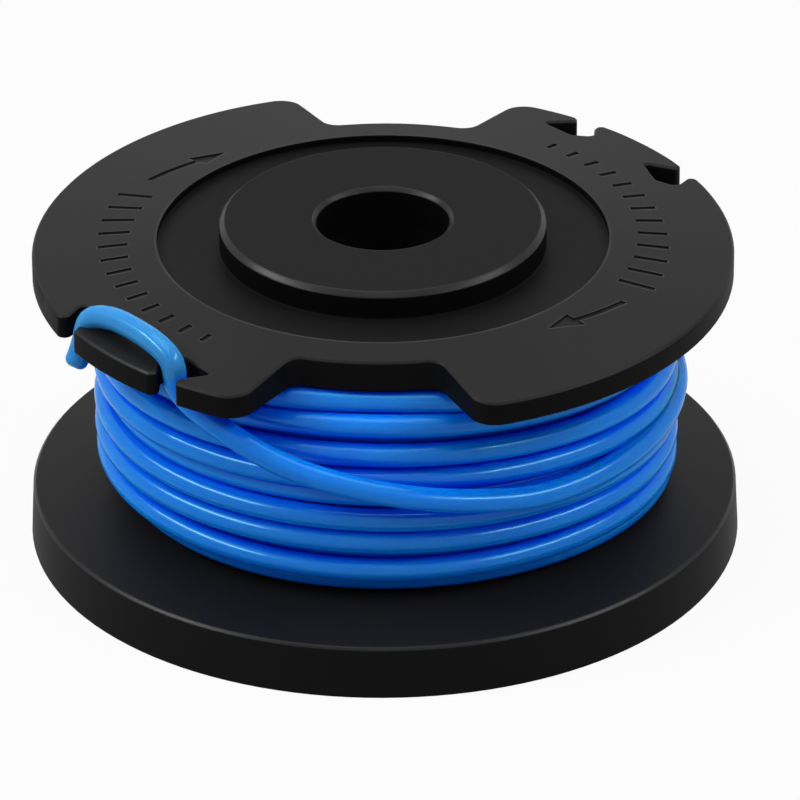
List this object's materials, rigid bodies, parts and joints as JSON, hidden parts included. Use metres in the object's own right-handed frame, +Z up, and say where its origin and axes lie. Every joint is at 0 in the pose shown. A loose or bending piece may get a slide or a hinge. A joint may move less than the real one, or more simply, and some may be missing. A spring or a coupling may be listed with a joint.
{
  "type": "trimmer line spool",
  "caption": "Flanged moulded trimmer spool with a hollow drum, spindle bore, rim notches and line slots, wound with nylon cutting line whose free end is held over the upper flange.",
  "frame": {"origin": "middle of the face that the spool stands on, at the foot of the lower flange's rim", "axes": "+Z up along the spindle bore, +Y through the rim notch that faces away from the held end of the line"},
  "size_m": [0.0665, 0.0664, 0.0318],
  "materials": {
    "moulding": "fine satin grain",
    "line": "smooth drawn nylon"
  },
  "bodies": {
    "root": {"spool": "moulding", "line_winding": "line", "line_lead": "line"}
  },
  "joints": []
}
